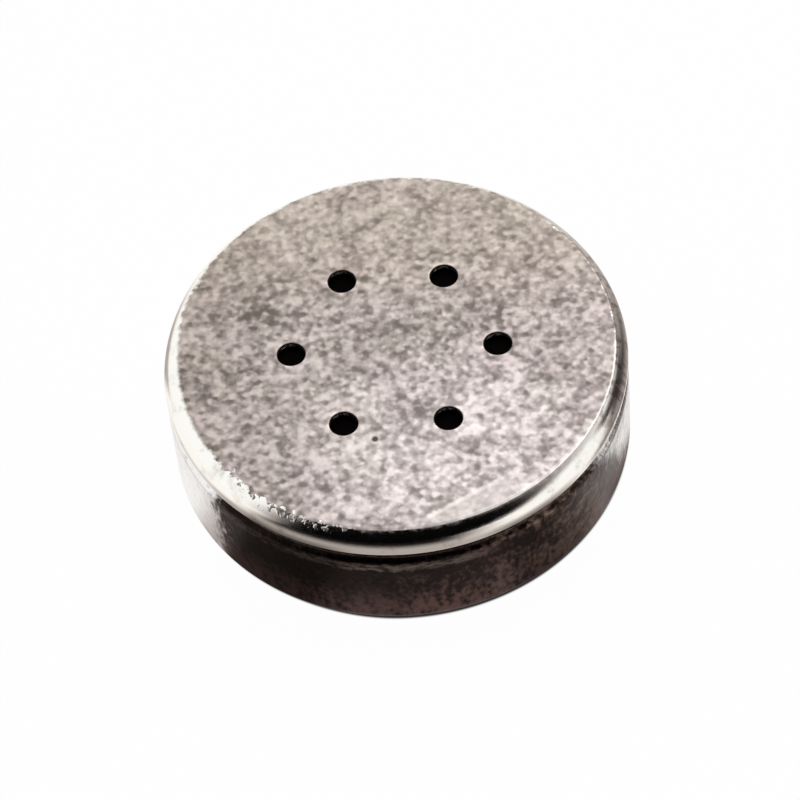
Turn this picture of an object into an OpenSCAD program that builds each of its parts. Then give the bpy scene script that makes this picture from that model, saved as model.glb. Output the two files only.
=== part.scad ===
// Carbon telephone microphone: a pressed metal case closed by a perforated front cap.
// The cap's edge is crimped under the flange of the case, which leaves an open groove between them.
// The origin is the centre of the foot, and +Z points out through the sound holes.

/* [Capsule] */
// Diameter of the case wall and of the cap skirt
capsule_d = 48; // [46:0.5:60]
// Height from the foot to the front face
capsule_h = 14.2; // [13.6:0.1:20]

/* [Front cap] */
// Thickness of the cap sheet
cap_sheet = 0.6; // [0.4:0.05:0.8]
// Outside radius of the rounded shoulder
cap_shoulder_r = 2.6; // [2:0.1:2.9]
// Distance from the skirt in to the edge of the flat, grained front face
cap_shoulder_w = 1.25; // [0.8:0.05:1.5]
// How far the crimped edge reaches in from the skirt
cap_crimp_w = 1.7; // [1.1:0.1:2.5]
// Number of sound holes
hole_count = 6; // [3:1:12]
// Diameter of each sound hole
hole_d = 2.9; // [1.5:0.1:4]
// Diameter of the circle through the hole centres
hole_circle_d = 21.3; // [12:0.1:34]
// Width of the broken edge at each hole mouth
hole_break = 0.15; // [0.05:0.05:0.3]

/* [Clamped stack] */
// Thickness of the card gasket under the front face
gasket_t = 0.3; // [0.2:0.05:0.6]
// Thickness of the oiled silk that keeps breath moisture out
membrane_t = 0.1; // [0.05:0.05:0.3]
// Thickness of the card ring between silk and diaphragm
spacer_t = 0.3; // [0.2:0.05:0.6]
// Thickness of the aluminium diaphragm
diaphragm_t = 0.15; // [0.1:0.05:0.3]
// Thickness of the brass ring that joins the diaphragm to the case
contact_ring_t = 0.35; // [0.2:0.05:0.6]
// Width of the rings that clamp the silk and the diaphragm
clamp_ring_w = 1.4; // [1:0.1:2]

/* [Case] */
// Thickness of the case sheet
case_sheet = 0.6; // [0.4:0.05:0.8]
// Height of the open groove between the crimp and the case shoulder
groove_h = 0.75; // [0.5:0.05:1.5]
// Depth of that groove, from the case wall in to the neck
groove_depth = 2.8; // [2.5:0.1:3.5]
// Inside radius of the bend at the case shoulder
shoulder_bend_r = 0.2; // [0.1:0.05:0.9]
// Inside radius of the bend between the wall and the foot
foot_bend_r = 0.4; // [0.1:0.05:1.2]
// Inside radius of the other bends
bend_r = 0.15; // [0.1:0.05:0.25]
// Diameter of the recess in the back
recess_d = 30; // [28:0.5:38]
// Depth of the recess in the back
recess_h = 1.6; // [1.5:0.05:2.2]
// Thickness of the felt ring that damps the air behind the diaphragm
damping_t = 2.5; // [1.5:0.1:4]

/* [Diaphragm] */
// Radius of the half-round bead pressed into the diaphragm
bead_r = 0.6; // [0.4:0.05:0.8]
// Gap between that bead and the inside of the neck
bead_gap = 0.9; // [0.5:0.05:1.5]
// How far the cone dips from rim to centre
cone_dip = 1.2; // [0.6:0.1:1.5]
// Width of the flat centre beyond the bore of the carbon chamber
centre_margin = 0.2; // [0.1:0.1:1]

/* [Front electrode] */
// Diameter of the carbon button
button_d = 10; // [8:0.5:11]
// Thickness of the carbon button
button_t = 1.4; // [1:0.1:1.8]
// Radius of its domed underside
button_dome_r = 14; // [12:1:30]
// Diameter of the rivet shank
rivet_d = 1.5; // [1:0.1:2]
// Diameter of the rivet's upper head
rivet_head_d = 4; // [3:0.1:5]
// Height of the rivet's upper head
rivet_head_h = 0.5; // [0.3:0.05:0.8]
// Diameter of the rivet's closed tail
rivet_tail_d = 2.6; // [2.3:0.1:3.5]
// Depth of the tail's seat in the button
rivet_tail_h = 0.4; // [0.3:0.05:0.6]
// Diameter of the washer under the rivet head
rivet_washer_d = 6; // [5.2:0.1:8]
// Thickness of the washer under the rivet head
rivet_washer_t = 0.2; // [0.1:0.05:0.4]

/* [Carbon chamber] */
// Bore of the moulded chamber ring
chamber_bore_d = 16; // [14.6:0.2:18]
// Wall of the chamber ring at its top
chamber_wall = 1.6; // [1.2:0.1:2]
// Thickness of the lip that the electrode holder clamps
chamber_lip_t = 0.6; // [0.4:0.1:1]
// Bore of the lip
chamber_lip_d = 9; // [7:0.5:12]
// Diameter of the chamber ring's foot
chamber_foot_d = 24; // [23.5:0.5:25]
// Height of the chamber ring's foot
chamber_foot_h = 1.5; // [1:0.1:2.5]
// Free height between the chamber ring and the flat centre of the diaphragm
chamber_gap = 0.6; // [0.4:0.1:1]
// Thickness of the brass electrode holder
holder_t = 1.4; // [1.2:0.1:1.6]
// Height of the carbon chamber, from the block to the diaphragm
granule_space_h = 3.3; // [2.8:0.1:4]
// Diameter of the dish in the block
dish_d = 11; // [9:0.5:12]
// Diameter of the dish's flat bottom
dish_floor_d = 7.2; // [5:0.2:8]
// Depth of the dish
dish_depth = 1.2; // [0.8:0.1:1.6]
// Number of concentric ridges on the dish's bottom
ridge_count = 3; // [1:1:5]
// Height of the ridges
ridge_h = 0.4; // [0.2:0.05:0.6]
// Width of the felt ring that holds the granules in
felt_w = 1.6; // [1.2:0.1:1.9]
// Share of the chamber's height that the granules fill
granule_fill = 0.8; // [0.65:0.05:0.9]

/* [Back contact] */
// Thickness of the fibre washer inside the case
inner_washer_t = 0.6; // [0.4:0.05:0.8]
// Diameter of the fibre washer inside the case
inner_washer_d = 25; // [24:0.5:26]
// Thickness of the fibre washer in the recess
outer_washer_t = 0.5; // [0.3:0.05:0.6]
// Diameter of the fibre washer in the recess
outer_washer_d = 14; // [11:0.5:20]
// Diameter of the contact's face
contact_d = 9; // [7:0.5:10]
// Thickness of the contact's head
contact_t = 0.7; // [0.5:0.05:0.8]
// Radius around the edge of the contact's face
contact_edge_r = 0.3; // [0.1:0.05:0.4]
// Diameter of the contact's shank
shank_d = 3; // [2:0.1:4]
// Wall of the fibre bush around the shank
bush_wall = 1; // [0.6:0.1:1.5]

/* [Fits] */
// Gap on each side between pieces that slip into one another
slip = 0.05; // [0.02:0.01:0.08]

/* [Hidden] */

// Fineness of every turned surface
$fn = 144;
// Overshoot of cutting shapes
past = 1;

// Colours
polished_sheet = [0.71, 0.69, 0.67];
tarnished_sheet = [0.24, 0.21, 0.2];
card = [0.62, 0.5, 0.33];
oiled_silk = [0.05, 0.05, 0.05];
bright_aluminium = [0.8, 0.8, 0.81];
brass = [0.78, 0.62, 0.3];
carbon = [0.16, 0.16, 0.17];
felt = [0.75, 0.72, 0.66];
phenolic = [0.13, 0.09, 0.07];
red_fibre = [0.45, 0.2, 0.13];

// Front cap
cap_r = capsule_d / 2;
face_r = cap_r - cap_shoulder_w;
ceiling_z = capsule_h - cap_sheet;
cap_shoulder_x = cap_r - cap_shoulder_r;
cap_shoulder_z = capsule_h - sqrt(pow(cap_shoulder_r, 2) - pow(face_r - cap_shoulder_x, 2));

// Inside radius of the cap at height z
function cap_inside(z) = z <= cap_shoulder_z ? cap_r - cap_sheet
    : cap_shoulder_x + sqrt(pow(cap_shoulder_r - cap_sheet, 2) - pow(z - cap_shoulder_z, 2));

// Clamped stack, from the cap down to the flange of the case
stack_r = cap_inside(ceiling_z) - slip;
clamp_ring_r = stack_r - clamp_ring_w;
gasket_z = ceiling_z - gasket_t;
membrane_z = gasket_z - membrane_t;
spacer_z = membrane_z - spacer_t;
diaphragm_z = spacer_z - diaphragm_t;
flange_top_z = diaphragm_z - contact_ring_t;

// Case
case_r = capsule_d / 2;
flange_z = flange_top_z - case_sheet;
flange_r = cap_inside(flange_top_z) - slip;
cap_bottom_z = flange_z - cap_sheet;
case_top_z = cap_bottom_z - groove_h;
neck_r = case_r - groove_depth;
shoulder_out_r = shoulder_bend_r + case_sheet;
foot_out_r = foot_bend_r + case_sheet;
bend_out_r = bend_r + case_sheet;
recess_r = recess_d / 2;
floor_top_z = recess_h + case_sheet;
foot_in_r = recess_r + bend_out_r;
foot_r = case_r - foot_out_r;

// Contact, washers and bush
shank_r = shank_d / 2;
shank_hole_r = shank_r + slip;
bush_r = shank_hole_r + bush_wall;
contact_top_z = recess_h - outer_washer_t;

// Diaphragm
bead_x = neck_r - case_sheet - bead_gap - bead_r - diaphragm_t / 2;
bead_mid_z = diaphragm_z + diaphragm_t / 2;
centre_z = diaphragm_z - cone_dip;
centre_top_z = centre_z + diaphragm_t;
centre_r = chamber_bore_d / 2 + centre_margin;

// Rivet and carbon button
rivet_hole_r = rivet_d / 2 + slip;
rivet_tail_r = rivet_tail_d / 2;
rivet_head_z = centre_top_z + rivet_washer_t;
button_r = button_d / 2;
button_bottom_z = centre_z - button_t;

// Carbon chamber, from the floor of the case up
chamber_z = floor_top_z + inner_washer_t;
holder_z = chamber_z + chamber_lip_t;
block_z = holder_z + holder_t;
block_top_z = centre_z - granule_space_h;
chamber_top_z = centre_z - chamber_gap;
bore_r = chamber_bore_d / 2;
insert_r = bore_r - slip;
felt_in_r = insert_r - felt_w;
granule_top_z = block_top_z + granule_fill * granule_space_h;

// A rectangular section between two radii and two heights
module band(r_in, r_out, z_low, z_high) {
    translate([r_in, z_low])
        square([r_out - r_in, z_high - z_low]);
}

// The quarter of a shape about the point [x, z] that the signs sx and sz point into
module quarter_at(x, z, reach, sx, sz) {
    translate([x, z])
        intersection() {
            children();
            translate([sx < 0 ? -reach : 0, sz < 0 ? -reach : 0])
                square(reach);
        }
}

// A quarter-round bend in sheet, about its centre [x, z]
module bend(x, z, r_inside, sheet, sx, sz) {
    quarter_at(x, z, r_inside + sheet, sx, sz)
        difference() {
            circle(r_inside + sheet);
            circle(r_inside);
        }
}

// What a round edge takes off its square corner, about the centre [x, z] of the round
module corner_waste(x, z, r, sx, sz) {
    quarter_at(x, z, r + past, sx, sz)
        difference() {
            square(2 * (r + past), center = true);
            circle(r);
        }
}

// A turned piece from the section that its children draw
module turned() {
    rotate_extrude()
        children();
}

// A flat ring
module washer(r_in, r_out, z_low, thickness) {
    turned()
        band(r_in, r_out, z_low, z_low + thickness);
}

// Section of the outside of the cap: rounded shoulder, skirt and rolled lower edge
module cap_outside_section() {
    difference() {
        band(0, cap_r, cap_bottom_z, capsule_h);
        corner_waste(cap_shoulder_x, cap_shoulder_z, cap_shoulder_r, 1, 1);
        corner_waste(cap_r - cap_sheet, cap_bottom_z + cap_sheet, cap_sheet, 1, -1);
    }
}

// Section of the room inside the cap, and of the opening that its crimped edge leaves
module cap_inside_section() {
    difference() {
        band(0, cap_r - cap_sheet, flange_z, ceiling_z);
        corner_waste(cap_shoulder_x, cap_shoulder_z, cap_shoulder_r - cap_sheet, 1, 1);
    }
    band(0, cap_r - cap_crimp_w, cap_bottom_z - past, flange_z + past);
}

// One sound hole with its broken edge
module sound_hole() {
    translate([hole_circle_d / 2, 0, 0]) {
        translate([0, 0, ceiling_z - past])
            cylinder(d = hole_d, h = cap_sheet + 2 * past);
        translate([0, 0, capsule_h - hole_break])
            cylinder(d1 = hole_d, d2 = hole_d + 4 * hole_break, h = 2 * hole_break);
    }
}

// Perforated front cap, crimped round the flange of the case
module front_cap() {
    color(polished_sheet)
        difference() {
            turned()
                difference() {
                    cap_outside_section();
                    cap_inside_section();
                }
            for (i = [0 : hole_count - 1])
                rotate(i * 360 / hole_count)
                    sound_hole();
        }
}

// Card gasket between the front face and the silk
module gasket_ring() {
    color(card)
        washer(clamp_ring_r, stack_r, gasket_z, gasket_t);
}

// Black oiled silk behind the sound holes
module moisture_membrane() {
    color(oiled_silk)
        washer(0, stack_r, membrane_z, membrane_t);
}

// Card ring between the silk and the diaphragm
module spacer_ring() {
    color(card)
        washer(clamp_ring_r, stack_r, spacer_z, spacer_t);
}

// Section of the half-round bead that lets the diaphragm flex
module bead_section() {
    outer_r = bead_r + diaphragm_t / 2;
    translate([bead_x, bead_mid_z])
        intersection() {
            difference() {
                circle(outer_r);
                circle(outer_r - diaphragm_t);
            }
            translate([-outer_r, -outer_r])
                square([2 * outer_r, outer_r]);
        }
}

// Conical aluminium diaphragm: flat rim, bead, cone and flat centre
module diaphragm() {
    bead_edge = bead_r - diaphragm_t / 2;
    color(bright_aluminium)
        turned() {
            band(bead_x + bead_edge, stack_r, diaphragm_z, diaphragm_z + diaphragm_t);
            bead_section();
            polygon([
                [bead_x - bead_edge, diaphragm_z],
                [bead_x - bead_edge, diaphragm_z + diaphragm_t],
                [centre_r, centre_top_z],
                [rivet_hole_r, centre_top_z],
                [rivet_hole_r, centre_z],
                [centre_r, centre_z],
            ]);
        }
}

// Brass ring that carries the current from the diaphragm to the case
module contact_ring() {
    color(brass)
        washer(clamp_ring_r, stack_r, flange_top_z, contact_ring_t);
}

// Section of the sheet between the flange and the top of the wall
module neck_section() {
    band(neck_r + bend_r, flange_r, flange_z, flange_top_z);
    bend(neck_r + bend_r, flange_z - bend_r, bend_r, case_sheet, -1, 1);
    band(neck_r - case_sheet, neck_r, case_top_z + bend_r, flange_z - bend_r);
    bend(neck_r + bend_r, case_top_z + bend_r, bend_r, case_sheet, -1, -1);
    band(neck_r + bend_r, case_r - shoulder_out_r, case_top_z - case_sheet, case_top_z);
}

// Section of the shoulder, the wall and the foot
module wall_section() {
    bend(case_r - shoulder_out_r, case_top_z - shoulder_out_r, shoulder_bend_r, case_sheet, 1, 1);
    band(case_r - case_sheet, case_r, foot_out_r, case_top_z - shoulder_out_r);
    bend(foot_r, foot_out_r, foot_bend_r, case_sheet, 1, -1);
    band(foot_in_r, foot_r, 0, case_sheet);
}

// Section of the recess in the back, in to the hole for the bush
module recess_section() {
    bend(foot_in_r, bend_out_r, bend_r, case_sheet, -1, -1);
    band(recess_r, recess_r + case_sheet, bend_out_r, recess_h - bend_r);
    bend(recess_r - bend_r, recess_h - bend_r, bend_r, case_sheet, 1, 1);
    band(bush_r + slip, recess_r - bend_r, recess_h, floor_top_z);
}

// Case pressed from one sheet, from the flange round to the raised floor
module case() {
    color(tarnished_sheet)
        turned() {
            neck_section();
            wall_section();
            recess_section();
        }
}

// Felt ring in the trough around the recess
module damping_ring() {
    color(felt)
        washer(foot_in_r, foot_r, case_sheet, damping_t);
}

// Washer between the rivet's head and the diaphragm
module rivet_washer() {
    color(brass)
        washer(rivet_hole_r, rivet_washer_d / 2, centre_top_z, rivet_washer_t);
}

// Section of the rivet's domed upper head
module rivet_head_section() {
    head_r = rivet_head_d / 2;
    dome_r = (pow(head_r, 2) + pow(rivet_head_h, 2)) / (2 * rivet_head_h);
    intersection() {
        translate([0, rivet_head_z + rivet_head_h - dome_r])
            circle(dome_r);
        band(0, head_r, rivet_head_z, rivet_head_z + rivet_head_h);
    }
}

// Rivet that holds the carbon button to the diaphragm
module electrode_rivet() {
    color(brass)
        turned() {
            rivet_head_section();
            band(0, rivet_d / 2, button_bottom_z, rivet_head_z);
            band(0, rivet_tail_r, button_bottom_z, button_bottom_z + rivet_tail_h);
        }
}

// Section of the carbon button with its domed underside, made larger by grow
module button_section(grow) {
    intersection() {
        translate([0, button_bottom_z - grow + button_dome_r])
            circle(button_dome_r);
        band(0, button_r + grow, button_bottom_z - grow, centre_z);
    }
}

// Carbon button on the underside of the diaphragm
module front_electrode() {
    color(carbon)
        turned()
            difference() {
                button_section(0);
                band(0, rivet_hole_r, button_bottom_z - past, centre_z + past);
                band(0, rivet_tail_r + slip, button_bottom_z - past, button_bottom_z + rivet_tail_h);
            }
}

// Outline of the hollow in the carbon block, from the rim over concentric ridges to the centre
function dish_outline() =
    let (floor_z = block_top_z - dish_depth, pitch = dish_floor_d / 2 / ridge_count)
    [
        [dish_d / 2, block_top_z],
        for (i = [ridge_count : -1 : 1])
            each [
                [i * pitch, floor_z],
                [(i - 0.5) * pitch, floor_z - ridge_h],
            ],
        [0, floor_z],
    ];

// Charge of carbon granules between the two electrodes
module carbon_granules() {
    color(carbon)
        turned()
            difference() {
                polygon([
                    [0, granule_top_z],
                    [felt_in_r - slip, granule_top_z],
                    [felt_in_r - slip, block_top_z],
                    each dish_outline(),
                ]);
                button_section(slip);
                band(0, rivet_tail_r + slip, button_bottom_z - slip, centre_z);
            }
}

// Felt ring that holds the granules in, under the flat centre of the diaphragm
module felt_ring() {
    color(felt)
        washer(felt_in_r, insert_r, block_top_z, granule_space_h - slip);
}

// Moulded insulating ring around the carbon chamber
module chamber_ring() {
    top_r = bore_r + chamber_wall;
    foot_top_z = chamber_z + chamber_foot_h;
    color(phenolic)
        turned()
            difference() {
                polygon([
                    [chamber_lip_d / 2, chamber_z],
                    [chamber_foot_d / 2, chamber_z],
                    [chamber_foot_d / 2, foot_top_z],
                    [top_r + chamber_wall / 2, foot_top_z],
                    [top_r, chamber_top_z],
                    [chamber_lip_d / 2, chamber_top_z],
                ]);
                band(0, bore_r, holder_z, chamber_top_z + past);
            }
}

// Carbon block with the ridged dish
module back_electrode() {
    color(carbon)
        turned()
            polygon([
                [0, block_z],
                [insert_r, block_z],
                [insert_r, block_top_z],
                each dish_outline(),
            ]);
}

// Brass plate under the carbon block, tapped for the contact's shank
module electrode_holder() {
    color(brass)
        washer(shank_hole_r, insert_r, holder_z, holder_t);
}

// Fibre washer between the carbon chamber and the floor of the case
module inner_washer() {
    color(red_fibre)
        washer(shank_hole_r, inner_washer_d / 2, floor_top_z, inner_washer_t);
}

// Fibre bush that keeps the shank clear of the case
module insulating_bush() {
    color(red_fibre)
        washer(shank_hole_r, bush_r, recess_h, case_sheet);
}

// Fibre washer in the recess of the back
module outer_washer() {
    color(red_fibre)
        washer(shank_hole_r, outer_washer_d / 2, contact_top_z, outer_washer_t);
}

// Brass contact with its shank, up through case and chamber into the holder
module contact_button() {
    contact_r = contact_d / 2;
    face_z = contact_top_z - contact_t;
    color(brass)
        turned() {
            difference() {
                band(0, contact_r, face_z, contact_top_z);
                corner_waste(contact_r - contact_edge_r, face_z + contact_edge_r, contact_edge_r, 1, -1);
            }
            band(0, shank_r, contact_top_z, block_z - slip);
        }
}

front_cap();
gasket_ring();
moisture_membrane();
spacer_ring();
diaphragm();
contact_ring();
case();
damping_ring();
rivet_washer();
electrode_rivet();
front_electrode();
carbon_granules();
felt_ring();
chamber_ring();
back_electrode();
electrode_holder();
inner_washer();
insulating_bush();
outer_washer();
contact_button();
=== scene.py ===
"""Looks of a round carbon microphone capsule for a telephone handset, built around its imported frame.

The front cap, the case and the silk behind the sound holes are turned from their sections by
Geometry Nodes. The other pieces keep the frame's meshes and get their finishes here.
"""

import cmath
import math
from functools import partial, reduce

import bmesh
import bpy
from mathutils import Matrix, Vector


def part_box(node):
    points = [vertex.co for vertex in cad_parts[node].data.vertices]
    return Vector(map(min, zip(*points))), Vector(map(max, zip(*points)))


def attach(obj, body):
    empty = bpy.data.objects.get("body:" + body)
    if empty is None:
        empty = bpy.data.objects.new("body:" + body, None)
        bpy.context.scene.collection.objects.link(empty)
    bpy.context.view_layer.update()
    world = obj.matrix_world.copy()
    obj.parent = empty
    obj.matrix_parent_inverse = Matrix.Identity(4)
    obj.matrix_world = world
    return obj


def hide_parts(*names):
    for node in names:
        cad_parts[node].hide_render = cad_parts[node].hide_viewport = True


bl_info = {
    "name": "Telephone Microphone Capsule",
    "version": (1, 0, 0),
    "blender": (4, 5, 0),
    "location": "View3D > Sidebar > Capsule",
    "description": "Builds the visible surfaces of a carbon microphone capsule around its frame",
    "category": "Object",
}

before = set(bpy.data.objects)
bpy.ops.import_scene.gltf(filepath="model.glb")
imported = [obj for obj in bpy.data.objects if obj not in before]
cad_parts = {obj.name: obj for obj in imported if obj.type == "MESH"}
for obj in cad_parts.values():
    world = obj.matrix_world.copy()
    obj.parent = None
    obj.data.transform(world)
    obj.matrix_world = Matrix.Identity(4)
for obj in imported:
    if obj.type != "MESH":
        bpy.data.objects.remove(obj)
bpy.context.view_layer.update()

MM = 0.001
BODY = "root"
WHITE = (1.0, 1.0, 1.0)
TURNING = "Turn section"
SHARP_ANGLE = math.radians(40.0)  # edges that bend more stay sharp
MERGE_DISTANCE = 0.0005 * MM  # points nearer than this become one
FACE_DEPTH = 0.002 * MM  # points less than this below the face lie on it
SEAT_GAP = 0.05 * MM  # between the flange's edge and the cap
EDGE_ROUND = 0.1 * MM  # rounds of the crimped edge

# Sizes that the frame gives
cap_low, cap_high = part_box("front_cap")
case_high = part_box("case")[1]
silk_low, silk_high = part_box("moisture_membrane")
bush_low, bush_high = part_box("insulating_bush")


# Properties: the sizes and colours that a user would change

def length(label, text, millimetres):
    """A length property, with its default in millimetres."""
    return bpy.props.FloatProperty(
        name=label, description=text, default=millimetres * MM, min=0.0, precision=5, unit="LENGTH")


def colour(label, text, value):
    """A colour property."""
    return bpy.props.FloatVectorProperty(
        name=label, description=text, default=value, size=3, min=0.0, max=1.0, subtype="COLOR")


def number(label, text, value, low=0.0):
    """A plain number."""
    return bpy.props.FloatProperty(name=label, description=text, default=value, min=low, precision=5)


def count(label, text, value):
    """A whole number."""
    return bpy.props.IntProperty(name=label, description=text, default=value, min=3)


def angle(label, text, degrees):
    """An angle property, with its default in degrees."""
    return bpy.props.FloatProperty(
        name=label, description=text, default=math.radians(degrees), subtype="ANGLE", unit="ROTATION")


class CapSizes(bpy.types.PropertyGroup):
    """Sizes of the perforated front cap."""

    sheet: length("Sheet", "Thickness of the cap's sheet", 0.6)
    shoulder_radius: length("Shoulder radius", "Outside radius of the rounded shoulder", 2.6)
    shoulder_width: length("Shoulder width", "From the skirt in to the edge of the flat face", 1.25)
    crease_radius: length("Crease radius", "Round between the flat face and the shoulder", 0.3)
    crimp_reach: length("Crimp reach", "How far the crimped edge reaches in from the skirt", 1.7)
    hole_count: count("Sound holes", "Number of sound holes", 6)
    hole_diameter: length("Hole diameter", "Diameter of each sound hole", 2.9)
    hole_circle: length("Hole circle", "Diameter of the circle through the hole centres", 21.3)
    hole_break: length("Hole edge", "Width of the rounded edge at each hole mouth", 0.15)
    grain_size: length("Grain size", "Width of the grains that stand up from the face", 0.62)
    grain_height: length("Grain height", "Height of those grains", 0.03)
    segments: count("Segments", "Divisions round the cap", 480)


class CaseSizes(bpy.types.PropertyGroup):
    """Sizes of the pressed case."""

    groove_height: length("Groove height", "Open groove between the crimp and the case", 0.75)
    groove_depth: length("Groove depth", "From the wall in to the neck", 2.8)
    shoulder_bend: length("Shoulder bend", "Inside radius of the bend above the wall", 0.2)
    foot_bend: length("Foot bend", "Inside radius of the bend between wall and foot", 0.4)
    small_bend: length("Other bends", "Inside radius of the other bends", 0.15)
    recess_diameter: length("Recess diameter", "Diameter of the recess in the back", 30.0)
    bush_gap: length("Bush gap", "Gap between the bush and its hole", 0.05)
    wave_height: length("Wave height", "Unevenness of the pressed shoulder", 0.07)
    wave_pitch: length("Wave pitch", "Distance between those waves", 2.6)
    segments: count("Segments", "Divisions round the case", 480)


class SilkSizes(bpy.types.PropertyGroup):
    """Sizes of the oiled silk behind the sound holes."""

    wrinkle_height: length("Wrinkle height", "Height of the wrinkles in the silk", 0.035)
    wrinkle_size: length("Wrinkle size", "Distance between the wrinkles", 0.9)
    clamp_width: length("Clamped rim", "Width of the rim that is held flat", 1.4)
    segments: count("Segments", "Divisions round the silk", 180)


class Colours(bpy.types.PropertyGroup):
    """Colours of the finishes."""

    cap_metal: colour("Cap metal", "Polished shoulder and skirt of the cap", (0.965, 0.965, 0.925))
    face_light: colour("Face grains", "Raised grains of the cap's face", (0.645, 0.590, 0.571))
    face_dark: colour("Face pits", "Pits between the grains", (0.165, 0.141, 0.130))
    patina: colour("Patina", "Dark tarnish of the case", (0.022, 0.0135, 0.0125))
    patina_brown: colour("Brown patina", "Browner stains in the tarnish", (0.185, 0.115, 0.106))
    # colour of the painted highlight along the shoulder bead and of the abrasion under the foot
    case_worn: colour("Worn case metal", "Metal where the tarnish has worn thin", (0.215, 0.185, 0.165))
    # bare metal, used as painted reflection at both sides of the wall
    case_bare: colour("Bare case metal", "Metal where the tarnish has gone", (0.885, 0.895, 0.895))
    # near black: the silk's own dark colour, darkened further as painted shade in the sound holes
    silk: colour("Silk", "Black oiled silk", (0.0012, 0.0006, 0.0004))
    aluminium: colour("Aluminium", "Diaphragm", (0.80, 0.80, 0.81))
    brass: colour("Brass", "Contact, rivet and washers", (0.72, 0.52, 0.24))
    carbon: colour("Carbon", "Electrodes and granules", (0.035, 0.035, 0.038))
    card: colour("Card", "Gasket rings", (0.42, 0.29, 0.16))
    felt: colour("Felt", "Felt rings", (0.55, 0.50, 0.43))
    phenolic: colour("Phenolic", "Moulded chamber ring", (0.030, 0.017, 0.012))
    fibre: colour("Red fibre", "Insulating washers and bush", (0.28, 0.06, 0.035))


class StageSettings(bpy.types.PropertyGroup):
    """Camera, floor and light."""

    azimuth: angle("Azimuth", "Camera's angle round the capsule, from the front", 3.72)
    elevation: angle("Elevation", "Camera's height angle", 52.98)
    roll: angle("Roll", "Tilt of the picture", -6.0)
    distance: length("Distance", "From the camera to its target", 409.3)
    target_height: length("Target height", "Height of the point that the camera looks at", 7.1)
    lens: number("Lens", "Focal length in millimetres on a 36 mm sensor", 176.6)
    shift_x: number("Shift X", "Picture shift sideways", 0.00155, -1.0)
    shift_y: number("Shift Y", "Picture shift upwards", -0.0127, -1.0)
    floor_radius: length("Floor radius", "Radius of the pale floor", 2000.0)
    room_light: number("Room light", "Level of the soft light all round", 1.0)
    key_power: number("Key light", "Power of the soft light behind the capsule, in watts", 0.3)


class CapsuleSettings(bpy.types.PropertyGroup):
    """Everything that the sidebar shows."""

    cap: bpy.props.PointerProperty(type=CapSizes, name="Cap", description="Sizes of the front cap")
    case: bpy.props.PointerProperty(type=CaseSizes, name="Case", description="Sizes of the case")
    silk: bpy.props.PointerProperty(type=SilkSizes, name="Silk", description="Sizes of the silk")
    colours: bpy.props.PointerProperty(type=Colours, name="Colours", description="Colours of all finishes")
    stage: bpy.props.PointerProperty(type=StageSettings, name="Stage", description="Camera, floor and light")


# Node trees

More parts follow.
